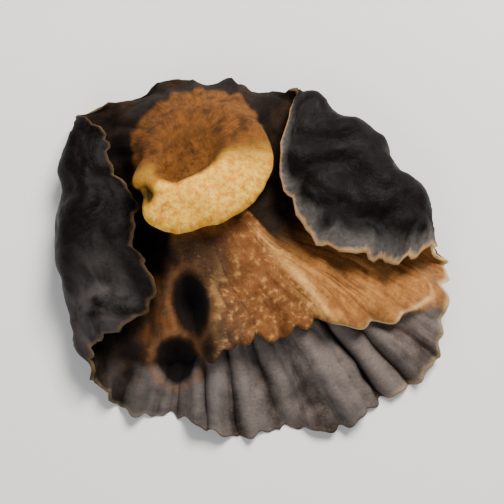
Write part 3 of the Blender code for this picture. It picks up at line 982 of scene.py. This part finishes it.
def under_colour(paint):
    """Near black umber, which also stands as painted shade between the crest and the right flap and left of
    the front, amber on the webs left of the front, and a tan bridge between the pockets.
    """
    colour = paint.mix(paint.patches("umber", blotch=1.0), UMBER_DARK, UMBER)
    amber = paint.mix(paint.patches("amber", clouds=1.0), AMBER_DARK, AMBER)
    web = paint.step(paint.uneven("web", clouds=0.5), "web")
    colour = paint.mix(web * COVER["web"], colour, amber)
    bridge = paint.mark("bridge") * (LEAST["bridge"] + paint.blend(fibre=0.9))
    return paint.mix(bridge, colour, CARAMEL_PALE)


def front_colour(paint):
    """Folded front: caramel, painted lit on its right and shaded, darker and greyer on its left, with
    painted shade below the lip, pale flecks in patches and a painted highlight on its crest.
    """
    patch = paint.patches("caramel", fibre=0.25, mottle=0.25, clouds=0.5)
    lit = paint.mix(patch, CARAMEL, CARAMEL_PALE)
    dull = paint.mix(patch, CARAMEL_SHADED, CARAMEL_SHADED_GREY)
    # Painted light and shade: lit caramel on the front's right, shaded darker and greyer caramel on its
    # left
    colour = paint.mix(paint.step(paint.uneven("side", blotch=0.9, mottle=0.4), "side"), dull, lit)
    # Painted shade below the overhanging lip
    shade = paint.mark("shade")
    colour = paint.mix(shade * (LEAST["shade"] + paint.blend(clouds=0.5)), colour, CARAMEL_SHADED)
    # Pale flecks in patches, kept out of the painted shade below the lip
    flecks = paint.patches("flecks", mottle=0.75, clouds=0.25) * (1.0 - shade)
    colour = paint.mix(flecks * COVER["flecks"], colour, CREST_PALE)
    spine = paint.mark("spine") * (LEAST["spine"] + paint.blend(mottle=0.45))
    colour = paint.mix(spine, colour, CREST_PALE)
    # Painted highlight on the crest
    crest = paint.mark("crest") * paint.patches("crest", fibre=1.0)
    return paint.mix(crest * COVER["crest"], colour, CREST_PALE)


def wing_colour(paint):
    """Wing: streaked tan with darker stretches."""
    colour = paint.mix(paint.patches("wing", fibre=0.65, mottle=0.35), TAN, TAN_PALE)
    dark = paint.patches("wing_dark", blotch=0.6, fibre=0.4)
    return paint.mix(dark * COVER["wing_dark"], colour, CARAMEL)


def skirt_colour(paint):
    """Skirt: dark grey, painted lighter grey on its pleat ridges as painted highlight, darker between them
    as painted shade, and darker towards the margin.
    """
    raised = paint.marked(ridge=0.45) + paint.blend(fibre=0.4, clouds=0.5) - paint.marked(outer=0.3)
    return paint.mix(paint.step(raised, "skirt"), SKIRT_DARK, SKIRT_GREY)


def knob_colour(paint):
    """Back of the knob: patchy brown with umber clouds."""
    colour = paint.mix(paint.patches("knob_brown", mottle=0.6, fibre=0.4), PIT_BROWN, BACK_BROWN)
    dark = paint.patches("knob_dark", clouds=0.7, blotch=0.3)
    return paint.mix(dark * COVER["knob_dark"], colour, UMBER)


def pit_colour(paint):
    """Pit inside the lip: brown with dark patches."""
    brown = paint.mark("pit") * paint.patches("pit", mottle=0.5, blotch=0.5)
    return paint.mix(brown, PIT_DARK, PIT_BROWN)


def lip_colour(paint):
    """Lip: mottled pale ochre with a few deeper places."""
    colour = paint.mix(paint.patches("lip", mottle=0.8, fibre=0.2), OCHRE, OCHRE_PALE)
    return paint.mix(paint.patches("lip_deep", blotch=1.0) * COVER["lip_deep"], colour, OCHRE_DEEP)


def gritted(paint, colour):
    """The colour with dark grit all over it, and pale grit mostly on its light zones."""
    grit = paint.noises["grit"]
    colour = paint.mix(paint.step(grit, "grit_dark") * COVER["grit_dark"], colour, GRIT_DARK)
    light_zones = (paint.marked(front=1.0, wing=1.0, lip=1.0) + LEAST["grit_pale"]).clamped()
    pale = paint.step(1.0 - grit, "grit_pale") * light_zones
    return paint.mix(pale * COVER["grit_pale"], colour, MARGIN_PALE)


def pocketed(paint, colour):
    """The colour with the hole at the lip's end and the pockets painted dark as painted shade, and a paler
    ring around each pocket.
    """
    # Painted shade in the hole at the lip's end
    hole = paint.step(paint.uneven("hole", mottle=0.3), "hole")
    colour = paint.mix(hole * COVER["hole"], colour, PIT_DARK)
    pocket = paint.uneven("pocket", mottle=0.12)
    around_it = paint.step(pocket, "ring") * (1.0 - paint.step(pocket, "ring_end"))
    colour = paint.mix(around_it * (LEAST["ring"] + paint.blend(clouds=0.35)), colour, RING_PALE)
    # Painted shade in the pockets
    return paint.mix(paint.step(pocket, "pocket") * COVER["pocket"], colour, POCKET_DARK)


def edged(paint, colour):
    """The colour with a pale edge on the tuck and the margin, and pale specks."""
    colour = paint.mix(paint.mark("edge") * paint.mark("wing") * COVER["edge"], colour, MARGIN_PALE)
    rim = paint.step(paint.mark("outer"), "rim") * (1.0 - paint.marked(skirt=0.7))
    bright = LEAST["rim"] + paint.marked(wing=0.6, right=0.5)
    colour = paint.mix(rim * bright, colour, MARGIN_PALE)
    speck = paint.patches("nap", nap=1.0) * paint.patches("speck", mottle=1.0)
    return paint.mix(speck * COVER["speck"], colour, MARGIN_PALE)


def velvet_side():
    """The grown-on outer side: dry, tan to grey-brown, with fine radiating fibres and a velvet nap."""
    paint = Paint("wood_ear_velvet")
    paint.add_noises(paint.place(paint.mark("flat_x"), paint.mark("flat_y"), 0.0), VELVET_NOISES)
    outwards = paint.mark("fibre_s") * STRAND_DRIFT
    paint.add_noises(paint.place(paint.mark("fibre_x"), paint.mark("fibre_y"), outwards), STRAND_NOISES)
    colour = paint.mix(paint.mark("front") * COVER["front"], under_colour(paint), front_colour(paint))
    colour = paint.mix(paint.mark("wing"), colour, wing_colour(paint))
    # Painted highlight: a thin pale line along the crest's top
    broken = paint.patches("line", fibre=0.4, mottle=0.6) * COVER["line"]
    colour = paint.mix(paint.mark("line") * (LEAST["line"] + broken), colour, CREST_PALE)
    colour = paint.mix(paint.mark("skirt") * COVER["skirt"], colour, skirt_colour(paint))
    knob = paint.step(paint.uneven("knob", blotch=1.1, fibre=0.6), "knob")
    colour = paint.mix(knob, colour, knob_colour(paint))
    colour = paint.mix(paint.mark("pit") * COVER["pit"], colour, pit_colour(paint))
    colour = paint.mix(paint.mark("lip"), colour, lip_colour(paint))
    colour = edged(paint, pocketed(paint, gritted(paint, colour)))
    roughness = VELVET_ROUGHNESS - paint.blend(mottle=0.14)
    lined = FIBRE_HEIGHT - paint.marked(lip=0.32, front=0.28)
    height = paint.noises["fibre"] * lined + paint.blend(mottle=0.35, nap=0.25, grit=0.4)
    return paint.finish(colour, roughness, height, VELVET_BUMP, VELVET_SHEEN)


def inner_side():
    """The inner side: near black, smooth like dried skin, with a faint dusty haze, a painted grey sheen low
    on the left flap, painted glare on the right flap's margin, and fine crinkles.
    """
    paint = Paint("wood_ear_inner")
    paint.add_noises(paint.place(paint.mark("flat_x"), paint.mark("flat_y"), 0.0), INNER_NOISES)
    colour = paint.mix(paint.patches("brown", crinkle=1.0), INNER_BLACK, INNER_BROWN)
    colour = paint.mix(paint.patches("haze", haze=1.0) * COVER["haze"], colour, INNER_BLOOM)
    # Painted grey sheen low on the left flap
    painted_sheen = paint.mark("painted_sheen") * paint.patches("painted_sheen", haze=1.0)
    colour = paint.mix(painted_sheen * COVER["painted_sheen"], colour, INNER_GREY)
    # The right flap's thin margin: the thin flesh's own grey, lightened further as painted glare
    thin = paint.step(paint.uneven("outer", haze=0.16), "thin") * paint.mark("right")
    thin_colour = paint.mix(paint.noises["crinkle"], INNER_THIN, INNER_PALE)
    colour = paint.mix(thin * COVER["thin"], colour, thin_colour)
    # Pale brown margin of the black side, paler on the right flap as painted glare
    edge = paint.step(paint.mark("outer") + paint.blend(crinkle=0.03), "inner_edge")
    colour = paint.mix(edge * (LEAST["inner_edge"] + paint.marked(right=0.8)), colour, INNER_EDGE)
    dulled = paint.patches("dull", haze=1.0) * INNER_DULLNESS
    roughness = INNER_ROUGHNESS + dulled + paint.blend(crinkle=0.13)
    return paint.finish(colour, roughness, paint.blend(crinkle=0.7, grain=0.3), INNER_BUMP, INNER_SHEEN)


def floor_material():
    paint = Paint("pale_floor")
    paint.shader.inputs["Base Color"].default_value = FLOOR_COLOUR
    paint.shader.inputs["Roughness"].default_value = FLOOR_ROUGHNESS
    return paint.material


def lay_floor():
    """Plain pale floor under the mushroom."""
    plane = bmesh.new()
    bmesh.ops.create_grid(plane, x_segments=1, y_segments=1, size=FLOOR_HALF)
    mesh = bpy.data.meshes.new("floor")
    plane.to_mesh(mesh)
    plane.free()
    mesh.materials.append(floor_material())
    floor = bpy.data.objects.new("floor", mesh)
    bpy.context.scene.collection.objects.link(floor)


def aim(item, place, target):
    item.location = place
    item.rotation_euler = (Vector(target) - Vector(place)).to_track_quat("-Z", "Y").to_euler()
    bpy.context.scene.collection.objects.link(item)


def light(name, place, size, power, colour):
    lamp = bpy.data.lights.new(name, "AREA")
    lamp.size = size
    lamp.energy = power
    lamp.color = colour
    aim(bpy.data.objects.new(name, lamp), place, LIGHT_TARGET)


def set_lights():
    """Soft studio light, strongest from above and behind the lip."""
    light("key", place=(0.17, 0.34, 0.44), size=0.24, power=7.6, colour=(1.0, 0.97, 0.93))
    light("fill", place=(-0.25, -0.45, 0.38), size=0.50, power=2.0, colour=(0.95, 0.97, 1.0))
    world = bpy.data.worlds.new("studio")
    bpy.context.scene.world = world
    world.use_nodes = True
    backdrop = world.node_tree.nodes["Background"]
    backdrop.inputs["Color"].default_value = SKY_COLOUR
    backdrop.inputs["Strength"].default_value = SKY_STRENGTH


def set_camera():
    """Looks almost straight down on the folded front."""
    camera = bpy.data.cameras.new("camera")
    camera.lens = CAMERA_LENS
    camera.clip_start = CAMERA_CLIP
    holder = bpy.data.objects.new("camera", camera)
    elevation = math.radians(CAMERA_ELEVATION)
    target = Vector(CAMERA_TARGET)
    back = Vector((0.0, -math.cos(elevation), math.sin(elevation)))
    aim(holder, target + CAMERA_DISTANCE * back, target)
    bpy.context.scene.camera = holder


def main():
    set_camera()
    ear = thickened("wood_ear_flesh", flesh_sheet("wood_ear_flesh"), [velvet_side(), inner_side()])
    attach(ear, "root")
    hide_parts("wood_ear")
    lay_floor()
    set_lights()


main()
